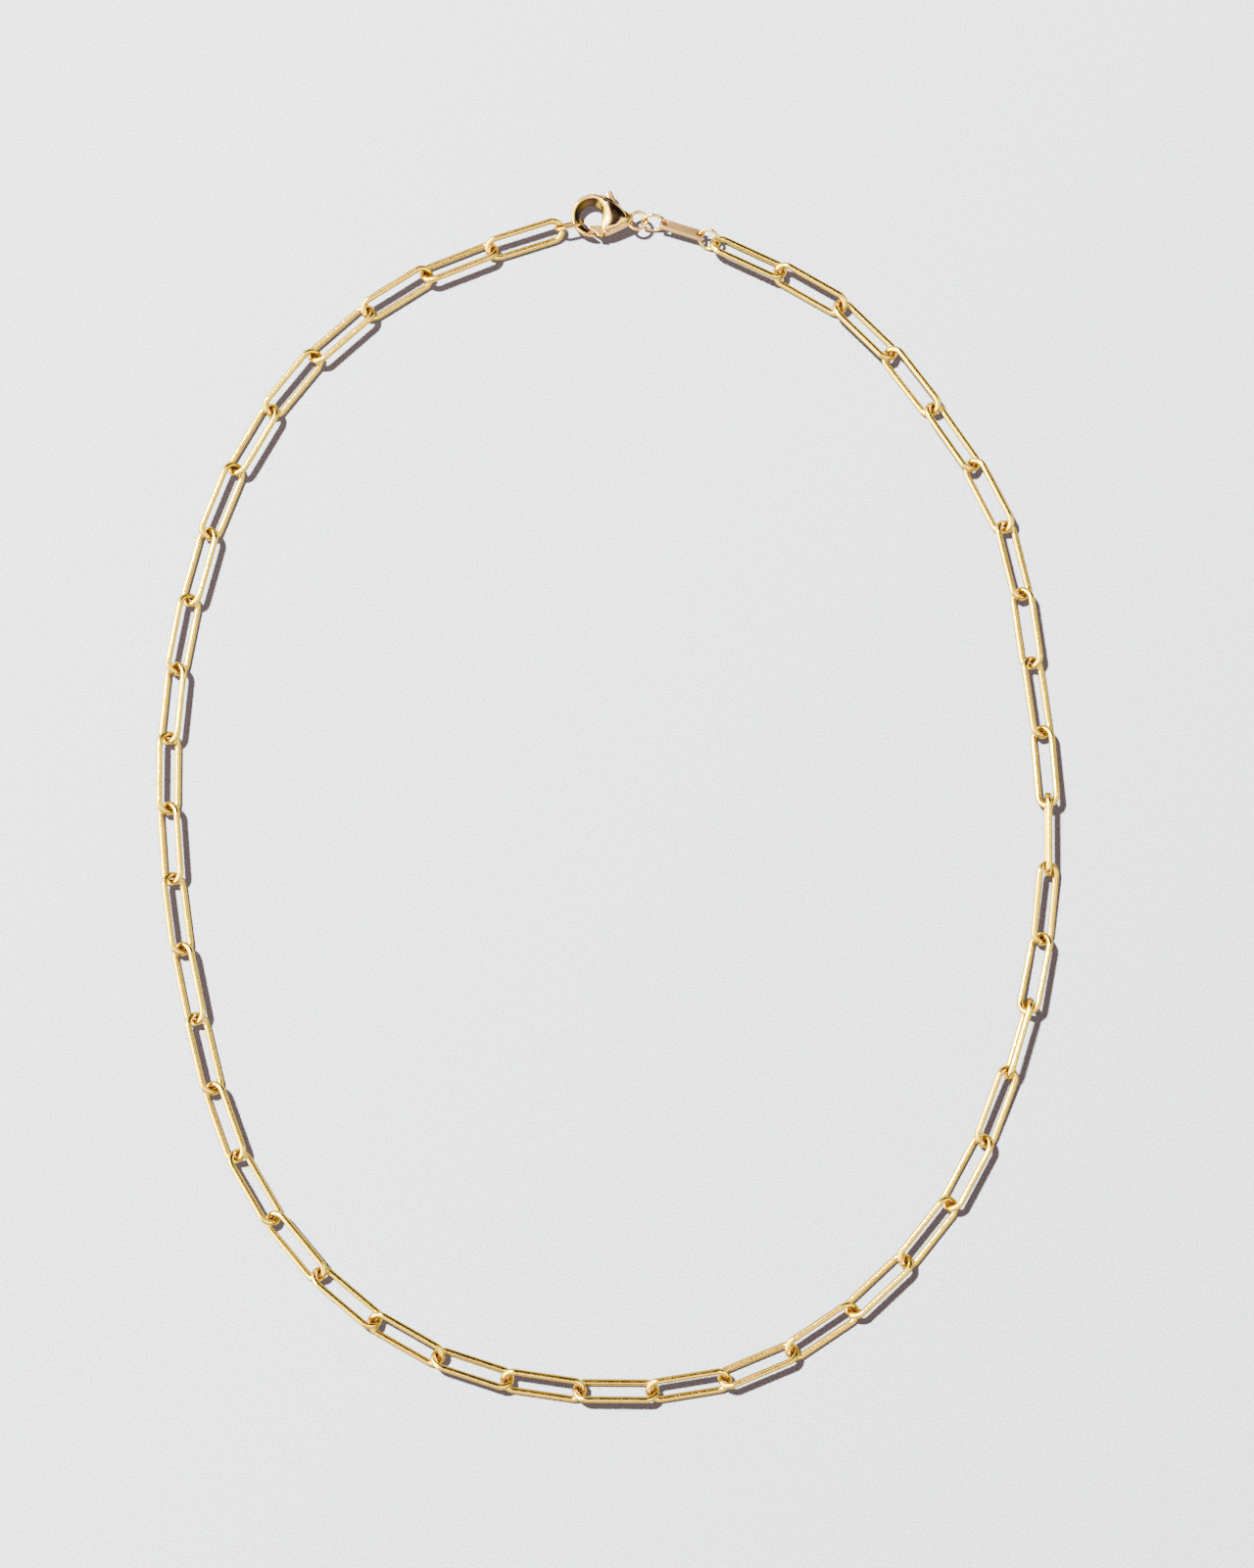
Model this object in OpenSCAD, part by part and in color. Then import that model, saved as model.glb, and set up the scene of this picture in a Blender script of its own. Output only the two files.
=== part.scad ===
// Oval link chain necklace, closed with a lobster clasp and laid down in an egg-shaped loop.
// Millimetres. X right, Y away from the wearer's end of the loop, Z up from the table.
// The origin is on the table, at the middle of the loop's bounding box.

/* [Chain] */
// Outside length of one oval link
link_len = 11.85; // [11.8:0.05:12]
// Outside width of one oval link
link_w = 3.8; // [3.7:0.05:4]
// Diameter of the link wire
wire_d = 0.9; // [0.7:0.05:0.9]
// How far a lying link rolls about its own length, to one side and the other in turn
link_roll = 35; // [33:1:37]
// How high the neighbours of a link that stands on edge are lifted at its ends
standing_lift = 0.6; // [0.5:0.1:0.7]

/* [Clasp] */
// Outside radius of the hook's bend
hook_r = 3.15; // [3:0.05:3.3]
// Thickness of the puffed body, from dome to dome
clasp_t = 2.3; // [2:0.1:2.5]
// Thickness of the lever plate
lever_t = 0.9; // [0.7:0.05:0.95]
// Clear width left for the lever between the two cheeks
slot_t = 1.1; // [1.05:0.05:1.3]
// Diameter of the pin that the lever turns on
pin_d = 0.7; // [0.6:0.05:0.75]
// Radius of the eye ring, to the middle of its wire
eye_r = 1.25; // [1.2:0.05:1.3]

/* [Rings and tag] */
// Wire diameter of the oval ring between the first link and the hook
connector_d = 0.5; // [0.4:0.05:0.5]
// Outside length of that oval ring
connector_len = 4.5; // [4.45:0.05:4.55]
// Outside width of that oval ring
connector_w = 2.95; // [2.9:0.05:3]
// Wire diameter of the two small round rings
ring_d = 0.45; // [0.35:0.05:0.45]
// Length of the tag plate
tag_len = 6.5; // [6.45:0.05:6.55]
// Width of the tag plate
tag_w = 1.7; // [1.6:0.05:1.8]
// Thickness of the tag plate
tag_t = 0.55; // [0.4:0.05:0.6]
// Diameter of the two holes in the tag
tag_hole = 0.95; // [0.9:0.05:1]

/* [Hidden] */
link_count = 44;
$fn = 32;

// Colours of the two golds
YELLOW_GOLD = [0.86, 0.68, 0.33];
ROSE_GOLD = [0.88, 0.67, 0.47];

// The way round the loop in plan, from the end of the first link, by the clasp, to the end of
// the last one, by the tag. Round numbers, as the laid-down necklace shows it.
ROUTE = [
    [-7.1, 80.6], [-26.5, 73.5], [-42, 61.5], [-53, 45], [-59, 26], [-61.5, 6.5],
    [-60.5, -13.5], [-57, -32.5], [-51, -51.5], [-39.5, -67.5], [-23.5, -78.5], [-4.5, -83],
    [15.5, -81.5], [32.5, -72.5], [46.5, -57.5], [54.5, -40], [59.5, -20.5], [60.5, -1],
    [58.5, 18.5], [55, 37.5], [45, 54.5], [32.5, 69], [14.5, 78.6]
];
// Smoothing steps between two route points
ROUTE_STEPS = 24;

// The links that stand on edge: [link number, roll]
STANDING = [[31, -82], [34, 90]];
// A joint twisted by less than this angle takes more slack, by so many millimetres a degree
FREE_TWIST = 65;
SLACK_PER_DEGREE = 0.03;

// Where the clasp lies: the middle of its hook, the heading of its eye and the eye end's rise
CLASP_AT = [-2.65, 82.35, 1.48];
CLASP_HEADING = -8;
CLASP_RISE = 4.5;
// The lever's pin, in the clasp's own plane, with the hook's middle as its zero
PIN_AT = [3.4, 0.3];
// The middle of the eye ring, in the same plane
EYE_AT = [6.45, 0];

// The hook's bend, from its root in the body round to its tip: [angle, width, thickness]
HOOK = [
    [45, 1.9, 2], [90, 1.6, 2], [150, 1.5, 1.9], [180, 1.3, 1.6],
    [205, 1.1, 1.2], [250, 1, 1.1], [270, 0.85, 1], [276, 0.7, 0.8]
];
// Outline of the puffed body, from the hook's root past the tail to the gate and up the hole
BODY = [
    [0.3, 3.1], [1.4, 3.25], [2.4, 3.05], [3.6, 2.35], [4.6, 1.4], [5.45, 0.5],
    [5.55, -0.3], [4.7, -1.1], [3.6, -1.9], [2.6, -2.5], [1.8, -2.7], [1.55, -1.6],
    [1.4, -0.3], [1.2, 1], [0.6, 1.9]
];
// The point that the body swells round
BODY_MIDDLE = [2.9, 0.4];
// The slot between the cheeks: open at the top for the tab, at the hole and at the gate
SLOT = [[0.8, -3.6], [0.8, 1.2], [1.5, 2], [1.5, 4.4], [4, 4.4], [4.65, 0.4], [3.7, -3.6]];
// The lever's plate: its gate, with the nose inside the hook's tip, and its arm to the tab
GATE = [
    [4, -0.3], [3, -2.05], [2, -2.6], [0.9, -2.8], [0.8, -1.95], [0, -2.05],
    [-0.35, -1.9], [-0.3, -1.6], [1.35, -1.5], [2.6, 0.2]
];
TAB_ARM = [[2.6, 0.5], [1.75, 3.6], [2.3, 3.8], [4, 0.9]];
TAB_AT = [1.95, 3.75];
TAB_R = 0.38;
HUB_R = 0.85;
PIN_GAP = 0.1;

// The rings: [middle, heading, fall of the far end, roll about their length]
CONNECTOR_PLACE = [[-5.98, 80.95, 1.36], 14, 0, 117.5];
CLASP_RING_PLACE = [[5.93, 81.25, 1.72], -6, 10, 66];
END_RING_PLACE = [[13.83, 78.9, 1.38], -25, -2, 48];
// Radius of the two round rings, to the middle of their wire
CLASP_RING_R = 1.6;
END_RING_R = 1.52;
// The tag: its middle, heading, the fall of its far end and its roll
TAG_PLACE = [[10, 80.32, 1.3], -17, 2.3, -29];
// Distance of each hole's middle from the tag's end
TAG_HOLE_IN = 0.7;

// Smooth curve through the points b and c, with their neighbours a and d
function smooth(a, b, c, d, t) =
    (2 * b + (c - a) * t + (2 * a - 5 * b + 4 * c - d) * t * t + (3 * b - a - 3 * c + d) * t * t * t) / 2;
function total(v, n, i = 0) = i >= n ? 0 : v[i] + total(v, n, i + 1);

// The smoothed route, and the distance run up to each of its points
LAST = len(ROUTE) - 1;
function route_point(i) =
    i < 0 ? 2 * ROUTE[0] - ROUTE[1] : i > LAST ? 2 * ROUTE[LAST] - ROUTE[LAST - 1] : ROUTE[i];
path = [
    for (i = [0:LAST - 1], k = [0:ROUTE_STEPS - 1])
        smooth(route_point(i - 1), ROUTE[i], ROUTE[i + 1], route_point(i + 2), k / ROUTE_STEPS),
    ROUTE[LAST]
];
function step_after(i) = i + 1 < len(path) ? norm(path[i + 1] - path[i]) : 0;
run = [for (i = 0, s = 0; i < len(path); s = s + step_after(i), i = i + 1) s];
path_len = run[len(path) - 1];
path_x = [for (i = [0:len(path) - 1]) [run[i], path[i][0]]];
path_y = [for (i = [0:len(path) - 1]) [run[i], path[i][1]]];
function on_path(s) = [lookup(s, path_x), lookup(s, path_y)];

// Middle line of a link: its length, and the radius of its round ends
link_c = link_len - wire_d;
link_r = (link_w - wire_d) / 2;

function standing(i) = search(i, STANDING)[0];
function is_standing(i) = len(search(i, STANDING)) > 0;
// The two links between the standing ones roll the other way round
function swapped(i) = i > STANDING[0][0] && i < STANDING[1][0];
function side(i) = (i % 2 == 1 ? -1 : 1) * (swapped(i) ? -1 : 1);
function roll(i) = is_standing(i) ? STANDING[standing(i)][1] : side(i) * link_roll;

// Twist between a link and the next one, from 0 to 90 degrees, and the slack that it takes
function twist(i) = let (t = abs(roll(i + 1) - roll(i)) % 180) min(t, 180 - t);
slack = [for (i = [1:link_count - 1]) max(0, FREE_TWIST - twist(i)) * SLACK_PER_DEGREE];
// The middle lines of two joined links overlap by this much, worked out to fill the route
overlap = (link_count * link_c - total(slack, len(slack)) - path_len) / (link_count - 1);
function link_at(i) = link_c / 2 + (i - 1) * (link_c - overlap) - total(slack, i - 1);

// Lift of the joint after link i, next to a link that stands on edge
function joint_lift(i) = is_standing(i) || is_standing(i + 1) ? standing_lift : 0;
function link_tip(i) = is_standing(i) ? 0 : asin((joint_lift(i) - joint_lift(i - 1)) / link_c);
function link_z(i) =
    wire_d / 2 + link_r * abs(sin(roll(i)))
    + (is_standing(i) ? 0 : (joint_lift(i) + joint_lift(i - 1)) / 2);

module laid(place) {
    translate(place[0])
        rotate([0, place[2], place[1]])
            rotate([place[3], 0, 0])
                children();
}

module round_wire_oval(length, width, d) {
    r = (width - d) / 2;
    straight = length - d - 2 * r;
    for (end = [-1, 1]) {
        translate([end * straight / 2, 0, 0])
            rotate([0, 0, -90 * end])
                rotate_extrude(angle = 180)
                    translate([r, 0])
                        circle(d = d);
        translate([-straight / 2, end * r, 0])
            rotate([0, 90, 0])
                cylinder(d = d, h = straight);
    }
}

module chain_link(i) {
    reach = 0.45 * link_c;
    from = on_path(link_at(i) - reach);
    to = on_path(link_at(i) + reach);
    mid = (from + to) / 2;
    heading = atan2(to[1] - from[1], to[0] - from[0]);
    color(YELLOW_GOLD)
        translate([mid[0], mid[1], link_z(i)])
            rotate([0, -link_tip(i), heading])
                rotate([roll(i), 0, 0])
                    round_wire_oval(link_len, link_w, wire_d);
}

// A closed skin over rings of points, each with n points, and with a middle point at each end
module skin(rings, first_middle, last_middle) {
    n = len(rings[0]);
    last = len(rings) - 1;
    points = concat([for (ring = rings, p = ring) p], [first_middle, last_middle]);
    first = len(points) - 2;
    sides = [
        for (i = [0:last - 1], k = [0:n - 1])
            let (a = i * n, b = a + n, next = (k + 1) % n)
            each [[a + k, a + next, b + next], [a + k, b + next, b + k]]
    ];
    ends = [
        for (k = [0:n - 1])
            let (next = (k + 1) % n)
            each [[first, next, k], [first + 1, last * n + k, last * n + next]]
    ];
    polyhedron(points, concat(sides, ends));
}

// The hook: rings of an oval section, swept round its bend and thinning to the tip
HOOK_STEPS = 30;
HOOK_SIDES = 16;
hook_width = [for (row = HOOK) [row[0], row[1]]];
hook_thickness = [for (row = HOOK) [row[0], row[2]]];
function hook_middle(a) = (hook_r - lookup(a, hook_width) / 2) * [cos(a), sin(a), 0];
function hook_ring(a) = [
    for (k = [0:HOOK_SIDES - 1])
        let (turn = 360 * k / HOOK_SIDES)
        hook_middle(a)
            + lookup(a, hook_width) / 2 * cos(turn) * [cos(a), sin(a), 0]
            + [0, 0, lookup(a, hook_thickness) / 2 * sin(turn)]
];

module hook() {
    from = HOOK[0][0];
    to = HOOK[len(HOOK) - 1][0];
    skin(
        [for (i = [0:HOOK_STEPS]) hook_ring(from + (to - from) * i / HOOK_STEPS)],
        hook_middle(from),
        hook_middle(to)
    );
}

// The puffed body: its smoothed outline drawn in towards the middle, level by level
BODY_STEPS = 3;
BODY_LEVELS = [-1, -0.92, -0.75, -0.45, 0, 0.45, 0.75, 0.92, 1];
body_outline = [
    for (i = [0:len(BODY) - 1], k = [0:BODY_STEPS - 1])
        let (n = len(BODY))
        smooth(BODY[(i + n - 1) % n], BODY[i], BODY[(i + 1) % n], BODY[(i + 2) % n], k / BODY_STEPS)
];
function drawn_in(level) = pow(1 - 0.985 * pow(abs(level), 2.6), 1 / 2.6);
function body_ring(level) = [
    for (p = body_outline)
        let (q = BODY_MIDDLE + (p - BODY_MIDDLE) * drawn_in(level))
        [q[0], q[1], level * clasp_t / 2]
];

module puffed_body() {
    skin(
        [for (level = BODY_LEVELS) body_ring(level)],
        [BODY_MIDDLE[0], BODY_MIDDLE[1], -clasp_t / 2],
        [BODY_MIDDLE[0], BODY_MIDDLE[1], clasp_t / 2]
    );
}

module clasp_frame() {
    laid([CLASP_AT, CLASP_HEADING, -CLASP_RISE, 0])
        children();
}

module clasp_body() {
    color(ROSE_GOLD)
        clasp_frame() {
            difference() {
                union() {
                    hook();
                    puffed_body();
                }
                linear_extrude(slot_t, center = true)
                    polygon(SLOT);
            }
            translate([PIN_AT[0], PIN_AT[1], -0.4 * clasp_t])
                cylinder(d = pin_d, h = 0.8 * clasp_t);
            translate([EYE_AT[0], EYE_AT[1], 0])
                rotate_extrude()
                    translate([eye_r, 0])
                        circle(d = ring_d);
        }
}

module lever_plate(outline) {
    linear_extrude(lever_t, center = true)
        polygon(outline);
}

module lever_disc(at, r) {
    translate([at[0], at[1], -lever_t / 2])
        cylinder(r = r, h = lever_t);
}

module clasp_lever() {
    color(ROSE_GOLD)
        clasp_frame()
            difference() {
                union() {
                    lever_plate(GATE);
                    lever_plate(TAB_ARM);
                    lever_disc(TAB_AT, TAB_R);
                    lever_disc(PIN_AT, HUB_R);
                }
                translate([PIN_AT[0], PIN_AT[1], -lever_t])
                    cylinder(d = pin_d + 2 * PIN_GAP, h = 2 * lever_t);
            }
}

module connector_ring() {
    color(ROSE_GOLD)
        laid(CONNECTOR_PLACE)
            round_wire_oval(connector_len, connector_w, connector_d);
}

module round_ring(r) {
    rotate_extrude()
        translate([r, 0])
            circle(d = ring_d);
}

module clasp_ring() {
    color(ROSE_GOLD)
        laid(CLASP_RING_PLACE)
            round_ring(CLASP_RING_R);
}

module end_ring() {
    color(YELLOW_GOLD)
        laid(END_RING_PLACE)
            round_ring(END_RING_R);
}

module tag() {
    color(ROSE_GOLD)
        laid(TAG_PLACE)
            difference() {
                translate([-tag_len / 2, -tag_w / 2, -tag_t / 2])
                    cube([tag_len, tag_w, tag_t]);
                for (end = [-1, 1])
                    translate([end * (tag_len / 2 - TAG_HOLE_IN), 0, -tag_t])
                        cylinder(d = tag_hole, h = 2 * tag_t);
            }
}

function link_name(i) = str("link_", i < 10 ? "0" : "", i);

clasp_body();
clasp_lever();
connector_ring();
clasp_ring();
tag();
end_ring();
for (i = [1:link_count])
    chain_link(i);
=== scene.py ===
from math import cos, pi, radians, sin

import bpy
from mathutils import Matrix, Vector


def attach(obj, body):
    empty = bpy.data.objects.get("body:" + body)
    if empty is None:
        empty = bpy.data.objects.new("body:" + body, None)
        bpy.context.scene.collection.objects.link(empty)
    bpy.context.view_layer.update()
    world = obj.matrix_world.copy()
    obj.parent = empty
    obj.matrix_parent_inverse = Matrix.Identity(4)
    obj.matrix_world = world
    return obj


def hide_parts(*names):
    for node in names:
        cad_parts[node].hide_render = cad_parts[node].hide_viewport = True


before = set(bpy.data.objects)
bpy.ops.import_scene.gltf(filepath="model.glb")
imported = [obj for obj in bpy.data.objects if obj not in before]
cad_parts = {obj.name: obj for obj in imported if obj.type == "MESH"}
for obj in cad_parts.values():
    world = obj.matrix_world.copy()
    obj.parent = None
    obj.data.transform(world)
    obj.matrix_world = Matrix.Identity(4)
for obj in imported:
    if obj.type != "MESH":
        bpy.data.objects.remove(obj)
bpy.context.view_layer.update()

# The chain: 44 oval links of drawn yellow gold wire, bent round a mandrel, joined one through the
# next and soldered shut, then polished in a barrel. That leaves a bright wire with a faint ripple
# along it, which breaks every reflection into fine sparks. The links are the frame's own solids.
WIRE = 0.0009
WIRE_RIPPLE = 0.28 * WIRE
WIRE_RIPPLE_HEIGHT = 0.000025
WIRE_ROUGHNESS = (0.0825, 0.154)
YELLOW = (0.52, 0.365, 0.07, 1)
YELLOW_DEEP = (0.44, 0.285, 0.035, 1)
GRAZED_GOLD = (0.8, 0.5, 0.2, 1)
TONE_PATCH = 0.006
WEAR_PATCH = 0.0012
WEAR_SPREAD = (0.35, 0.7)


def add_noise(tree, place, size, detail, roughness=0.5):
    """Noise with lumps of about this size, laid out on the given coordinates."""
    noise = tree.nodes.new("ShaderNodeTexNoise")
    noise.inputs["Scale"].default_value = 1 / size
    noise.inputs["Detail"].default_value = detail
    noise.inputs["Roughness"].default_value = roughness
    tree.links.new(place, noise.inputs["Vector"])
    return noise.outputs["Fac"]


def add_range(tree, value, limits, results, curve="LINEAR"):
    """A number that runs between two results while the given one runs between two limits."""
    spread = tree.nodes.new("ShaderNodeMapRange")
    spread.interpolation_type = curve
    spread.inputs["From Min"].default_value = limits[0]
    spread.inputs["From Max"].default_value = limits[1]
    spread.inputs["To Min"].default_value = results[0]
    spread.inputs["To Max"].default_value = results[1]
    tree.links.new(value, spread.inputs["Value"])
    return spread.outputs["Result"]


def add_mix(tree, share, *colours):
    """A blend of two colours, each a fixed one or another node's."""
    mix = tree.nodes.new("ShaderNodeMix")
    mix.data_type = "RGBA"
    tree.links.new(share, mix.inputs["Factor"])
    for name, colour in zip("AB", colours):
        if isinstance(colour, tuple):
            mix.inputs[name].default_value = colour
        else:
            tree.links.new(colour, mix.inputs[name])
    return mix.outputs["Result"]


def add_relief(tree, height, depth):
    """Relief of the given depth in metres, on top of any that the surface has."""
    surface = tree.nodes["Principled BSDF"].inputs["Normal"]
    bump = tree.nodes.new("ShaderNodeBump")
    bump.inputs["Strength"].default_value = 1
    bump.inputs["Distance"].default_value = depth
    if surface.is_linked:
        tree.links.new(surface.links[0].from_socket, bump.inputs["Normal"])
    tree.links.new(height, bump.inputs["Height"])
    tree.links.new(bump.outputs["Normal"], surface)


def worked_gold(name, pale, deep, roughness, ripple, ripple_height):
    """Gold with a drifting tone, a gloss worn in small spots and a ripple in its surface."""
    material = bpy.data.materials.new(name)
    material.use_nodes = True
    tree = material.node_tree
    shader = tree.nodes["Principled BSDF"]
    shader.inputs["Metallic"].default_value = 1
    shader.inputs["Specular Tint"].default_value = GRAZED_GOLD
    place = tree.nodes.new("ShaderNodeTexCoord").outputs["Object"]
    tone = add_mix(tree, add_noise(tree, place, TONE_PATCH, detail=3), pale, deep)
    tree.links.new(tone, shader.inputs["Base Color"])
    wear = add_range(tree, add_noise(tree, place, WEAR_PATCH, detail=4), WEAR_SPREAD, roughness)
    tree.links.new(wear, shader.inputs["Roughness"])
    add_relief(tree, add_noise(tree, place, ripple, detail=2, roughness=0.55), ripple_height)
    return material


def dress(node, material):
    """Give one of the frame's own solids a finish."""
    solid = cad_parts[node]
    solid.data.materials.clear()
    solid.data.materials.append(material)


yellow_gold = worked_gold(
    "yellow_gold", YELLOW, YELLOW_DEEP, WIRE_ROUGHNESS, WIRE_RIPPLE, WIRE_RIPPLE_HEIGHT
)
chain_links = sorted(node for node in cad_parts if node.startswith("link_"))
for node in chain_links:
    dress(node, yellow_gold)

# The findings: the oval ring that the hook holds, and the small round ring between the clasp's eye
# and the tag, of rosier and finer wire than the chain. They came with the clasp and match it.
ROSE = (0.52, 0.345, 0.12, 1)
ROSE_DEEP = (0.44, 0.265, 0.065, 1)
ROSE_ROUGHNESS = (0.06, 0.112)
ROSE_RIPPLE = 0.0007
ROSE_RIPPLE_HEIGHT = 0.000005
rose_gold = worked_gold(
    "rose_gold", ROSE, ROSE_DEEP, ROSE_ROUGHNESS, ROSE_RIPPLE, ROSE_RIPPLE_HEIGHT
)
for node in ("connector_ring", "clasp_ring"):
    dress(node, rose_gold)

# The clasp's body: one lost-wax casting of hook and teardrop body, with the eye ring soldered to
# its tail. The body is a plate with a puffed dome on each side, sawn open for the lever, whose pin
# is riveted across the slot. Inside the hook, shade is painted dark into its colour.

# Its sizes are in millimetres, with the middle of the hook's bend as their zero.
HOOK_OUTSIDE = 3.15
HOOK_SECTIONS = [
    # angle, width, thickness
    (36, 1.7, 1.7),
    (60, 1.85, 1.95),
    (90, 1.65, 2.0),
    (150, 1.5, 1.9),
    (180, 1.3, 1.6),
    (205, 1.1, 1.2),
    (250, 1.0, 1.1),
    (268, 0.9, 1.0),
    (276, 0.72, 0.8),
    (288, 0.25, 0.4),
]
HOOK_TURN = 4
# The hook's cut face, from its outside round to its inner edge, in shares of width and thickness.
HOOK_EDGE = [
    (0.5, 0), (0.46, 0.25), (0.31, 0.44), (0.13, 0.47), (-0.12, 0.3), (-0.36, 0.13), (-0.5, 0.03),
    (-0.5, -0.03), (-0.36, -0.13), (-0.12, -0.3), (0.13, -0.47), (0.31, -0.44), (0.46, -0.25),
]
HOOK_EDGE_STEPS = 3
PLATE = [
    (0.3, 3.05), (0.95, 3.2), (1.65, 3.12), (2.3, 2.9), (2.95, 2.5), (3.7, 2.0), (4.4, 1.45),
    (5.25, 0.85), (5.8, 0.5), (5.85, -0.5), (5.2, -1.0), (3.8, -1.95), (2.6, -2.65), (1.85, -2.75),
    (1.55, -1.6), (1.4, -0.3), (1.15, 1.0), (0.75, 1.9),
]
PLATE_HALF = 0.72
PLATE_TAPER = 0.87
PLATE_EDGE = 0.12
DOME = [
    (1.4, 2.75), (2.0, 2.62), (2.8, 2.08), (3.7, 1.32), (4.55, 0.6), (4.97, 0),
    (4.85, -0.55), (4.3, -1.1), (3.5, -1.68), (2.6, -2.08), (2.05, -2.2),
    (1.65, -2.0), (1.5, -1.0), (1.45, 0.2), (1.25, 1.3), (1.1, 2.3),
]
DOME_HALF = 1.2
DOME_FOOT = 0.5
DOME_MIDDLE = (2.85, -0.25, 0)
DOME_RINGS = [
    # rise, size
    (0.3, 1.0),
    (0.47, 0.95),
    (0.62, 0.87),
    (0.75, 0.76),
    (0.86, 0.62),
    (0.94, 0.45),
    (0.985, 0.25),
    (1.0, 0.08),
]
DOME_ROUNDING = 0.12
DOME_TILT = radians(3)
BODY_STEPS = 4
SLOT = [
    (0.8, -3.6), (2.05, -3.6), (2.15, -2.4), (3.4, -1.7), (4.3, -0.95), (4.65, 0.4),
    (4, 4.4), (1.5, 4.4), (1.5, 0.8), (0.8, 0.4),
]
SLOT_HALF = 0.55
PIN_AT = Vector((3.4, 0.3, 0))
PIN_R = 0.35
PIN_LENGTH = 1.7 * DOME_HALF
EYE_AT = Vector((6.45, 0, 0))
EYE_R = 1.25
EYE_WIRE = 0.5
CAST_GRAIN = 0.05
CAST_PASSES = 16
# The shade painted inside the hook: its middle, the radius within which it is full, the radius where
# it begins, and its dark colour.
HOOK_SHADE_MIDDLE = Vector((-0.25, 0.1, 0))
HOOK_SHADE_FULL_R = 2.2
HOOK_SHADE_START_R = 2.6
PAINTED_HOOK_SHADE = (0.06, 0.034, 0.019, 1)
MILLIMETRE = 0.001
MILLIMETRES = Matrix.Scale(MILLIMETRE, 4)
CLASP_AT = (-2.65, 82.35, 1.48)
CLASP_HEADING = radians(-8)
CLASP_RISE = radians(4.5)
CLASP_PLACE = (
    MILLIMETRES
    @ Matrix.Translation(CLASP_AT)
    @ Matrix.Rotation(CLASP_HEADING, 4, "Z")
    @ Matrix.Rotation(-CLASP_RISE, 4, "Y")
)


def start_edit():
    """Enter edit mode with the whole piece selected."""
    bpy.ops.object.mode_set(mode="EDIT")
    bpy.ops.mesh.select_mode(type="VERT")
    bpy.ops.mesh.select_all(action="SELECT")


def end_edit():
    """Turn every face outwards and leave edit mode with nothing selected."""
    bpy.ops.mesh.select_mode(type="VERT")
    bpy.ops.mesh.select_all(action="SELECT")
    bpy.ops.mesh.normals_make_consistent(inside=False)
    bpy.ops.mesh.select_all(action="DESELECT")
    bpy.ops.object.mode_set(mode="OBJECT")


def pick(piece, kind, wanted):
    """Enter edit mode with the wanted faces or edges selected."""
    bpy.ops.object.mode_set(mode="EDIT")
    bpy.ops.mesh.select_mode(type=kind)
    bpy.ops.mesh.select_all(action="DESELECT")
    bpy.ops.object.mode_set(mode="OBJECT")
    parts = piece.data.polygons if kind == "FACE" else piece.data.edges
    for part in parts:
        part.select = wanted(part)
    bpy.ops.object.mode_set(mode="EDIT")


def rounded(outline, steps):
    """A smooth closed line through the outline's points, with so many steps from one to the next."""
    line = []
    for i in range(len(outline)):
        a, b, c, d = (Vector(outline[(i + k) % len(outline)]) for k in (-1, 0, 1, 2))
        for step in range(steps):
            t = step / steps
            line.append((
                2 * b + (c - a) * t + (2 * a - 5 * b + 4 * c - d) * t * t
                + (3 * b - a - 3 * c + d) * t * t * t
            ) / 2)
    return line


def drawn_face(name, outline):
    """A flat face: a point is drawn round the outline and the loop is filled."""
    bpy.ops.object.select_all(action="DESELECT")
    bpy.ops.mesh.primitive_plane_add(size=1)
    sheet = bpy.context.object
    sheet.name = name
    start_edit()
    bpy.ops.mesh.merge(type="CENTER")
    bpy.ops.mesh.select_all(action="SELECT")
    corners = [Vector((x, y, 0)) for x, y in outline]
    bpy.ops.transform.translate(value=corners[0])
    for before, corner in zip(corners, corners[1:]):
        bpy.ops.mesh.extrude_vertices_move(TRANSFORM_OT_translate={"value": corner - before})
    bpy.ops.mesh.select_all(action="SELECT")
    bpy.ops.mesh.edge_face_add()
    return sheet


def drawn_plate(name, outline, half, edge=0, taper=1, middle=(0, 0, 0)):
    """A plate pulled up from -half to half, tapered from its waist to each face, its rims rounded."""
    plate = drawn_face(name, outline)
    bpy.ops.transform.translate(value=(0, 0, -half))
    bpy.ops.transform.resize(value=(taper, taper, 1), center_override=middle)
    for factor in (1 / taper, taper):
        bpy.ops.mesh.extrude_region_move(TRANSFORM_OT_translate={"value": (0, 0, half)})
        bpy.ops.transform.resize(value=(factor, factor, 1), center_override=middle)
    end_edit()
    if edge:
        points = plate.data.vertices

        def on_rim(line):
            """Both ends of the edge lie in the upper face, or both in the lower one."""
            return abs(sum(points[end].co.z for end in line.vertices)) > 1.9 * half

        pick(plate, "EDGE", on_rim)
        bpy.ops.mesh.bevel(offset=edge, segments=4)
        end_edit()
    return plate


def pull_dome(dome, side):
    """Puff the dome's face on one side, pulled up ring by ring."""
    pick(dome, "FACE", lambda face: side * face.normal.z > 0.99)
    last_rise = 0
    last_size = 1
    for rise, size in DOME_RINGS:
        lift = side * (rise - last_rise) * (DOME_HALF - DOME_FOOT)
        bpy.ops.mesh.extrude_region_move(TRANSFORM_OT_translate={"value": (0, 0, lift)})
        shrink = size / last_size
        bpy.ops.transform.resize(value=(shrink, shrink, 1), center_override=DOME_MIDDLE)
        bpy.ops.transform.tosphere(value=DOME_ROUNDING)
        last_rise = rise
        last_size = size
    end_edit()


def at_angle(sections, angle, column):
    """The width or thickness of a swept piece at an angle, between the two rows next to it."""
    for low, high in zip(sections, sections[1:]):
        if angle <= high[0]:
            share = (angle - low[0]) / (high[0] - low[0])
            return low[column] + share * (high[column] - low[column])
    return sections[-1][column]


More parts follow.
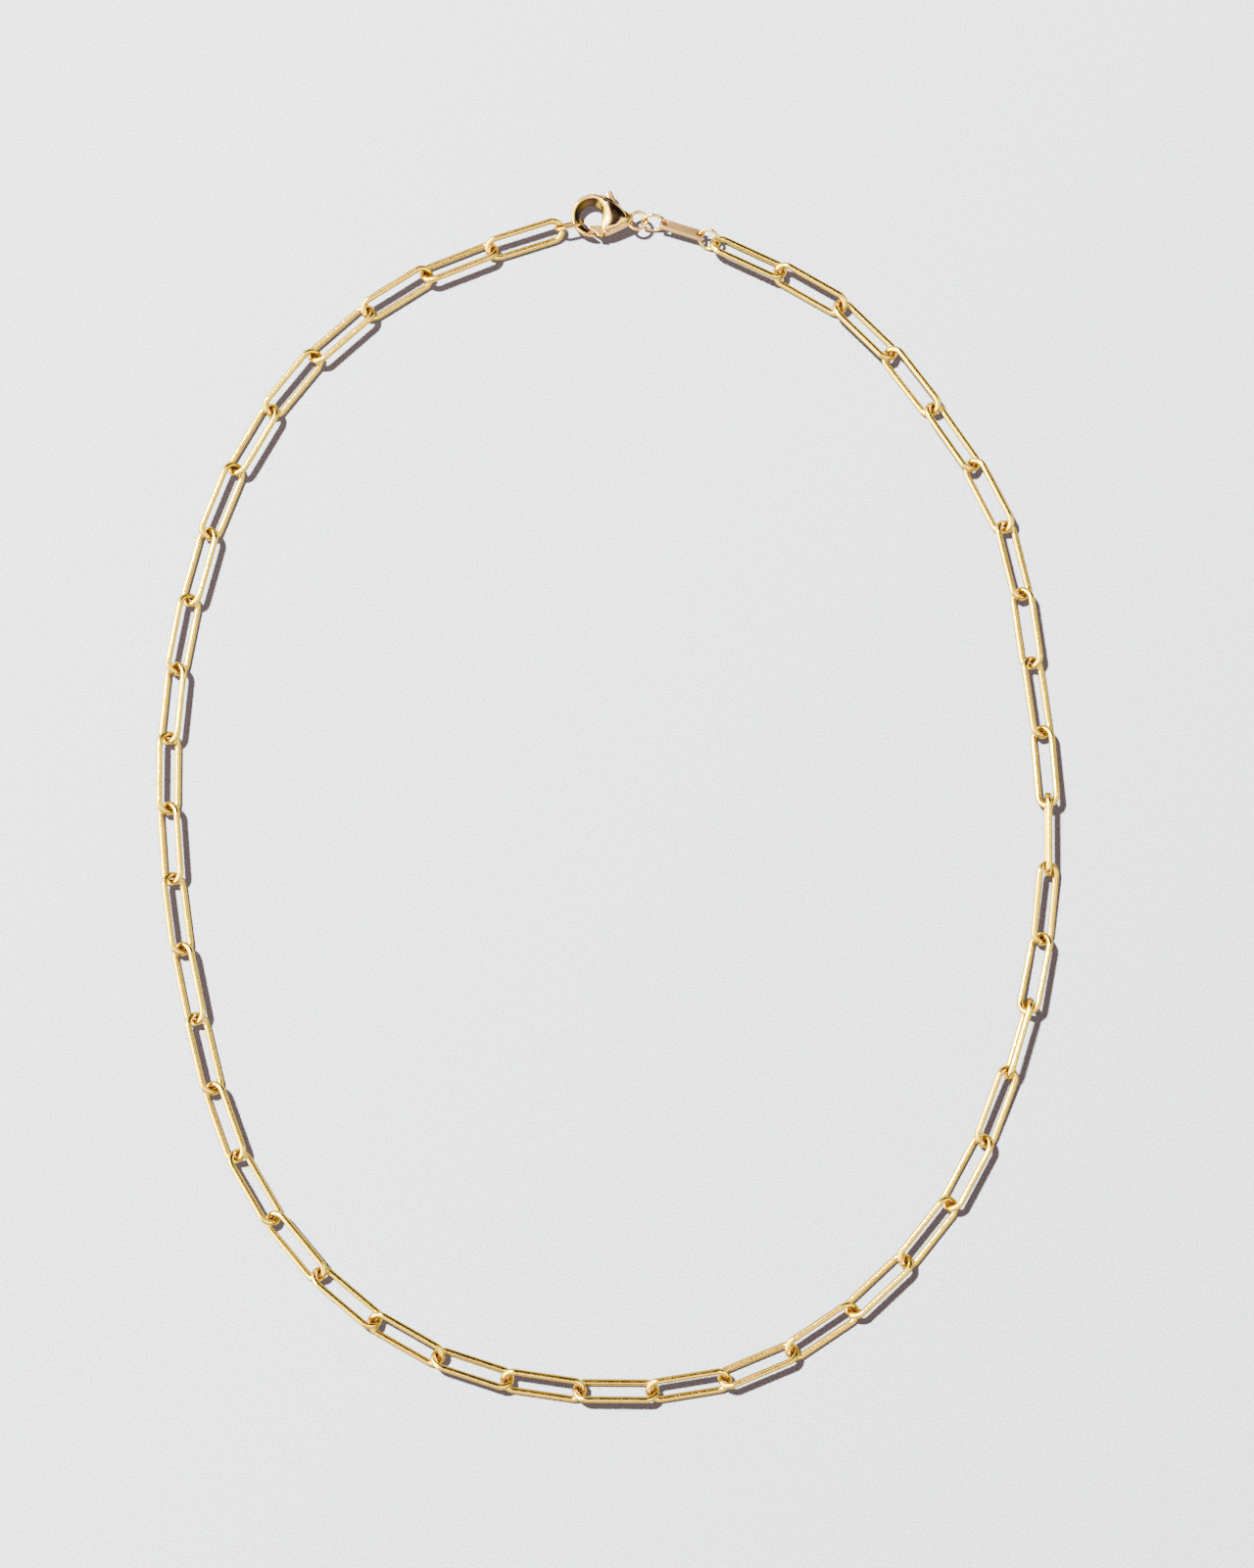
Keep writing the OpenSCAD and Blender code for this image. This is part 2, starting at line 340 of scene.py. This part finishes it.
def cut_or_join(piece, other, operation):
    """Take another solid out of a piece, or make it one with the piece, and remove the other."""
    tool = piece.modifiers.new("tool", "BOOLEAN")
    tool.operation = operation
    tool.solver = "EXACT"
    tool.object = other
    bpy.ops.object.select_all(action="DESELECT")
    bpy.context.view_layer.objects.active = piece
    piece.select_set(True)
    bpy.ops.object.modifier_apply(modifier=tool.name)
    bpy.data.objects.remove(other)


def worn_smooth(piece, grain, passes):
    """Melt a piece's solids together and soften its edges, as casting and polishing do."""
    cast = piece.modifiers.new("cast", "REMESH")
    cast.mode = "VOXEL"
    cast.voxel_size = grain
    polish = piece.modifiers.new("polish", "SMOOTH")
    polish.factor = 0.5
    polish.iterations = passes
    bpy.ops.object.modifier_apply(modifier=cast.name)
    bpy.ops.object.modifier_apply(modifier=polish.name)
    bpy.ops.object.shade_smooth()


# The hook: its cut face is swept round the bend from the root to the tip, and thins on the way.
first_angle, width, thickness = HOOK_SECTIONS[0]
hook = drawn_face("hook", rounded(HOOK_EDGE, HOOK_EDGE_STEPS))
bpy.ops.transform.resize(value=(width, thickness, 1), center_override=(0, 0, 0))
bpy.ops.transform.rotate(value=pi / 2, orient_axis="X", center_override=(0, 0, 0))
bpy.ops.transform.translate(value=(HOOK_OUTSIDE - width / 2, 0, 0))
bpy.ops.transform.rotate(value=-radians(first_angle), orient_axis="Z", center_override=(0, 0, 0))
for angle in range(first_angle + HOOK_TURN, HOOK_SECTIONS[-1][0] + 1, HOOK_TURN):
    turn = radians(angle)
    next_width = at_angle(HOOK_SECTIONS, angle, 1)
    next_thickness = at_angle(HOOK_SECTIONS, angle, 2)
    bpy.ops.mesh.extrude_region_move()
    bpy.ops.transform.rotate(
        value=-radians(HOOK_TURN), orient_axis="Z", center_override=(0, 0, 0)
    )
    wider = next_width / width
    bpy.ops.transform.resize(
        value=(wider, wider, next_thickness / thickness),
        center_override=(HOOK_OUTSIDE * cos(turn), HOOK_OUTSIDE * sin(turn), 0),
    )
    width = next_width
    thickness = next_thickness
end_edit()

# The casting: plate, domes and hook in one, sawn through by the slot, with its pin and eye.
clasp = drawn_plate(
    "clasp_casting", rounded(PLATE, BODY_STEPS), PLATE_HALF, PLATE_EDGE, PLATE_TAPER, DOME_MIDDLE
)
dome = drawn_plate("dome", rounded(DOME, BODY_STEPS), DOME_FOOT)
pull_dome(dome, 1)
pull_dome(dome, -1)
start_edit()
bpy.ops.transform.rotate(value=DOME_TILT, orient_axis="X", center_override=(0, 0, 0))
end_edit()
cut_or_join(clasp, dome, "UNION")
cut_or_join(clasp, hook, "UNION")
cut_or_join(clasp, drawn_plate("slot", SLOT, SLOT_HALF), "DIFFERENCE")
bpy.ops.mesh.primitive_cylinder_add(vertices=32, radius=PIN_R, depth=PIN_LENGTH, location=PIN_AT)
cut_or_join(clasp, bpy.context.object, "UNION")
bpy.ops.mesh.primitive_torus_add(
    major_segments=72, minor_segments=20, major_radius=EYE_R, minor_radius=EYE_WIRE / 2,
    location=EYE_AT,
)
cut_or_join(clasp, bpy.context.object, "UNION")
worn_smooth(clasp, CAST_GRAIN, CAST_PASSES)
clasp.data.transform(CLASP_PLACE)

# Its finish: the rings' polished gold, with shade painted dark into its colour inside the hook.
cast_gold = rose_gold.copy()
cast_gold.name = "cast_gold"
tree = cast_gold.node_tree
base_color = tree.nodes["Principled BSDF"].inputs["Base Color"]
from_hook_shade_middle = tree.nodes.new("ShaderNodeVectorMath")
from_hook_shade_middle.operation = "DISTANCE"
from_hook_shade_middle.inputs[1].default_value = CLASP_PLACE @ HOOK_SHADE_MIDDLE
tree.links.new(tree.nodes["Texture Coordinate"].outputs["Object"], from_hook_shade_middle.inputs[0])
# The painted shade is full near the hook's middle and fades out towards the hook's rim.
hook_shade_limits = (HOOK_SHADE_START_R * MILLIMETRE, HOOK_SHADE_FULL_R * MILLIMETRE)
inside = add_range(tree, from_hook_shade_middle.outputs["Value"], hook_shade_limits, (0, 1), "SMOOTHSTEP")
tree.links.new(add_mix(tree, inside, base_color.links[0].from_socket, PAINTED_HOOK_SHADE), base_color)
clasp.data.materials.append(cast_gold)
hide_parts("clasp_body")
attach(clasp, "chain")

# The lever: a flat plate sawn from sheet, which closes the hook with its gate and is drawn back by
# a round thumb tab. It turns on the pin inside the slot, where a hidden leaf spring pushes it shut.
LEVER_HALF = 0.45
# From the hub down to the heel in the slot's mouth, along to the nose, and back inside the hook.
GATE = [
    (4, -0.3), (3.15, -1.6), (2.02, -2.2), (1.95, -2.92), (1.12, -3.02), (1.06, -2.68),
    (0.62, -2.46), (0.25, -2.27), (-0.1, -2.12), (-0.35, -1.95), (-0.3, -1.65), (1.35, -1.45),
    (2.6, 0.2),
]
TAB_ARM = [(2.6, 0.5), (1.62, 3.3), (2.38, 3.45), (4, 0.9)]
TAB_AT = Vector((2, 3.42, 0))
TAB_R = 0.4
HUB_R = 0.85
PIN_GAP = 0.1
LEVER_GRAIN = 0.045
LEVER_PASSES = 12

lever = drawn_plate("lever_plate", GATE, LEVER_HALF)
cut_or_join(lever, drawn_plate("arm", TAB_ARM, LEVER_HALF), "UNION")
for centre, radius in ((TAB_AT, TAB_R), (PIN_AT, HUB_R)):
    bpy.ops.mesh.primitive_cylinder_add(
        vertices=40, radius=radius, depth=2 * LEVER_HALF, location=centre
    )
    cut_or_join(lever, bpy.context.object, "UNION")
bpy.ops.mesh.primitive_cylinder_add(
    vertices=40, radius=PIN_R + PIN_GAP, depth=4 * LEVER_HALF, location=PIN_AT
)
cut_or_join(lever, bpy.context.object, "DIFFERENCE")
worn_smooth(lever, LEVER_GRAIN, LEVER_PASSES)
lever.data.transform(CLASP_PLACE)
lever.data.materials.append(rose_gold)
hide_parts("clasp_lever")
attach(lever, "lever")

# The tag: an oblong of rolled sheet with a hole drilled at each end for the small rings that it
# hangs between. Its edges are broken with a file and its faces are brushed lengthways.
TAG_SIZE = Vector((6.5, 1.7, 0.55))
TAG_HOLE_R = 0.475
TAG_HOLE_IN = 0.7
TAG_EDGE = 0.07
TAG_AT = (10, 80.32, 1.3)
TAG_HEADING = radians(-17)
TAG_FALL = radians(2.3)
TAG_ROLL = radians(-29)
TAG_PLACE = (
    MILLIMETRES
    @ Matrix.Translation(TAG_AT)
    @ Matrix.Rotation(TAG_HEADING, 4, "Z")
    @ Matrix.Rotation(TAG_FALL, 4, "Y")
    @ Matrix.Rotation(TAG_ROLL, 4, "X")
)
BRUSHED = (0.42, 0.255, 0.12, 1)
BRUSHED_DEEP = (0.37, 0.215, 0.09, 1)
BRUSHED_ROUGHNESS = (0.42, 0.46)
BRUSHED_RIPPLE_HEIGHT = 0.000001
STROKE = 0.002
STROKE_FINENESS = 30
STROKE_DEPTH = 0.000008

brushed_gold = worked_gold(
    "brushed_gold", BRUSHED, BRUSHED_DEEP, BRUSHED_ROUGHNESS, ROSE_RIPPLE, BRUSHED_RIPPLE_HEIGHT
)
tree = brushed_gold.node_tree
along = tree.nodes.new("ShaderNodeMapping")
along.inputs["Rotation"].default_value = (0, 0, -TAG_HEADING)
along.inputs["Scale"].default_value = (1, STROKE_FINENESS, STROKE_FINENESS)
tree.links.new(tree.nodes["Texture Coordinate"].outputs["Object"], along.inputs["Vector"])
add_relief(tree, add_noise(tree, along.outputs["Vector"], STROKE, detail=3), STROKE_DEPTH)

bpy.ops.object.select_all(action="DESELECT")
bpy.ops.mesh.primitive_cube_add(size=1, scale=TAG_SIZE)
tag = bpy.context.object
tag.name = "tag_plate"
bpy.ops.object.transform_apply(location=True, rotation=True, scale=True)
for end in (-1, 1):
    bpy.ops.mesh.primitive_cylinder_add(
        vertices=48, radius=TAG_HOLE_R, depth=2 * TAG_SIZE.z,
        location=(end * (TAG_SIZE.x / 2 - TAG_HOLE_IN), 0, 0),
    )
    cut_or_join(tag, bpy.context.object, "DIFFERENCE")
filed = tag.modifiers.new("filed", "BEVEL")
filed.width = TAG_EDGE
filed.segments = 3
filed.limit_method = "ANGLE"
bpy.ops.object.modifier_apply(modifier=filed.name)
bpy.ops.object.shade_smooth_by_angle(angle=radians(30))
tag.data.transform(TAG_PLACE)
tag.data.materials.append(brushed_gold)
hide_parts("tag")
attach(tag, "chain")

# The end ring: a round jump ring of the chain's own yellow gold, bent from finer wire. It passes
# through the tag's far hole and the last link, and is soldered shut.
dress("end_ring", yellow_gold)

# The table that the necklace lies on: a plain sheet of pale, matt card with a fine mottle. Its colour
# is painted darker from its far left to its near right, a painted falloff of the lamp's light.
TABLE_SIZE = 6
MOTTLE = 0.00027
MOTTLE_SPREAD = (0.3, 0.7)
CARD_DEEP = (0.45, 0.505, 0.575, 1)
CARD_PALE = (0.81, 0.885, 0.98, 1)
CARD_ROUGHNESS = 0.9
# The painted falloff of the lamp's light: the way towards which it darkens the card, the span over
# which it does so, and the card's share of its colour at each end.
PAINTED_FALLOFF_TOWARDS = (0.86, -0.5, 0)
PAINTED_FALLOFF_LIMITS = (-0.12, 0.12)
PAINTED_FALLOFF = (1, 0.75)

bpy.ops.object.select_all(action="DESELECT")
bpy.ops.mesh.primitive_plane_add(size=TABLE_SIZE)
table = bpy.context.object
table.name = "table"
card = bpy.data.materials.new("pale_card")
card.use_nodes = True
tree = card.node_tree
shader = tree.nodes["Principled BSDF"]
shader.inputs["Roughness"].default_value = CARD_ROUGHNESS
shader.inputs["Specular IOR Level"].default_value = 0
place = tree.nodes.new("ShaderNodeTexCoord").outputs["Object"]
mottle = add_range(tree, add_noise(tree, place, MOTTLE, detail=2), MOTTLE_SPREAD, (0, 1))
# The painted falloff: the mottled colour is scaled down away from the lamp.
across = tree.nodes.new("ShaderNodeVectorMath")
across.operation = "DOT_PRODUCT"
across.inputs[1].default_value = PAINTED_FALLOFF_TOWARDS
card_with_painted_falloff = tree.nodes.new("ShaderNodeVectorMath")
card_with_painted_falloff.operation = "SCALE"
tree.links.new(place, across.inputs[0])
tree.links.new(add_mix(tree, mottle, CARD_DEEP, CARD_PALE), card_with_painted_falloff.inputs["Vector"])
tree.links.new(add_range(tree, across.outputs["Value"], PAINTED_FALLOFF_LIMITS, PAINTED_FALLOFF), card_with_painted_falloff.inputs["Scale"])
tree.links.new(card_with_painted_falloff.outputs["Vector"], shader.inputs["Base Color"])
table.data.materials.append(card)

# The lamps: one bright and far off, high on the left and behind, so that its shadows fall to the
# lower right, and a weak, wide fill that keeps those shadows from going black. The gold throws no
# glow of its own on the table.
BEAM = Vector((0.4385, -0.375, -1))
KEY_POWER = 19.5
KEY_WIDTH = radians(4.5)
KEY_COLOR = (1, 0.95, 0.89)
FILL_POWER = 0.95
FILL_WIDTH = radians(150)
FILL_COLOR = (1, 0.68, 0.59)

bpy.ops.object.light_add(type="SUN", location=(-0.4, 0.35, 0.9))
key = bpy.context.object
key.name = "key_lamp"
key.data.energy = KEY_POWER
key.data.angle = KEY_WIDTH
key.data.color = KEY_COLOR
key.rotation_euler = BEAM.to_track_quat("-Z", "Y").to_euler()
bpy.ops.object.light_add(type="SUN", location=(0, 0, 1))
fill = bpy.context.object
fill.name = "fill_lamp"
fill.data.energy = FILL_POWER
fill.data.angle = FILL_WIDTH
fill.data.color = FILL_COLOR
fill.visible_glossy = False
for node in chain_links + ["connector_ring", "clasp_ring", "end_ring"]:
    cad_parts[node].visible_diffuse = False
for piece in (clasp, lever, tag):
    piece.visible_diffuse = False

# The studio that the gold mirrors, which lights nothing else: bright on the left and about the
# lamp, dimmer behind, with a dark strip overhead that runs from front to back, a dark low band at
# the front and right, and a dark corner on the right behind.

# Each brightness has the way that it faces, the two angles from there between which it changes,
# and its values inside and outside them.
ROOM = ((-0.7, -0.7, 0.2), 20, 120, 7.5, 6.5)
BEHIND = ((0, 1, 0.35), 25, 62, 0.24, 1)
LOW_BAND = ((0, 0, 1), 54, 70, 1, 0.04)
LOW_BAND_ENDS = ((0.7, -0.7, 0), 70, 100, 0, 1)
CORNER = ((0.42, 0.66, 0.62), 20, 34, 0.02, 1)
LEFT = ((-1, 0.05, 0.2), 12, 56, 22, 0)
LAMP_GLOW = (-BEAM, 5, 32, 13, 0)
STRIP = ((0, 0.22, 0.975), 31, 38, 0.01, 1)
STRIP_SIDES = (75, 83)
YELLOW_SIDES = (50, 75)
# It is bluish where it is dark, and where it is bright it is amber, or yellow at the sides.
DARK_COLOR = (1, 1, 2, 1)
AMBER = (1, 0.82, 0.6, 1)
SIDE_YELLOW = (1, 1.08, 0.22, 1)
DARK_TO_BRIGHT = (0.3, 2)

world = bpy.data.worlds.new("studio")
bpy.context.scene.world = world
world.use_nodes = True
world.cycles_visibility.diffuse = False
tree = world.node_tree
around = tree.nodes.new("ShaderNodeTexCoord").outputs["Generated"]


def brightness(towards, start, end, inside, outside):
    """A brightness that changes between two angles from the way that it faces."""
    facing = tree.nodes.new("ShaderNodeVectorMath")
    facing.operation = "DOT_PRODUCT"
    facing.inputs[1].default_value = Vector(towards).normalized()
    tree.links.new(around, facing.inputs[0])
    limits = (cos(radians(end)), cos(radians(start)))
    return add_range(tree, facing.outputs["Value"], limits, (outside, inside), "SMOOTHSTEP")


def combined(operation, first, *others):
    """Several brightnesses added, multiplied or compared, one after the other."""
    for other in others:
        step = tree.nodes.new("ShaderNodeMath")
        step.operation = operation
        tree.links.new(first, step.inputs[0])
        tree.links.new(other, step.inputs[1])
        first = step.outputs["Value"]
    return first


def at_both_sides(start, end):
    """1 to the left and to the right, and 0 beyond the second angle from there."""
    left, right = (brightness((side, 0, 0), start, end, 1, 0) for side in (-1, 1))
    return combined("MAXIMUM", left, right)


low_band = combined("MAXIMUM", brightness(*LOW_BAND), brightness(*LOW_BAND_ENDS))
walls = combined("MULTIPLY", brightness(*ROOM), brightness(*BEHIND), low_band, brightness(*CORNER))
lit_walls = combined("ADD", walls, brightness(*LEFT), brightness(*LAMP_GLOW))
strip = combined("MAXIMUM", brightness(*STRIP), at_both_sides(*STRIP_SIDES))
seen = combined("MULTIPLY", lit_walls, strip)
bright_color = add_mix(tree, at_both_sides(*YELLOW_SIDES), AMBER, SIDE_YELLOW)
bright_share = add_range(tree, seen, DARK_TO_BRIGHT, (0, 1))
background = tree.nodes["Background"]
tree.links.new(seen, background.inputs["Strength"])
tree.links.new(add_mix(tree, bright_share, DARK_COLOR, bright_color), background.inputs["Color"])

# The camera: nearly straight above, tipped back a little towards the front of the necklace, with a
# long lens, from the photograph's distance.
LOOK_AT = Vector((0.0022, 0.0006, 0))
DISTANCE = 0.6
TILT = radians(10.22)
LENS = 99.1
bpy.ops.object.camera_add(
    location=LOOK_AT + DISTANCE * Vector((0, -sin(TILT), cos(TILT))), rotation=(TILT, 0, 0)
)
camera = bpy.context.object
camera.data.lens = LENS
camera.data.sensor_width = 36
camera.data.clip_start = 0.01
bpy.context.scene.camera = camera
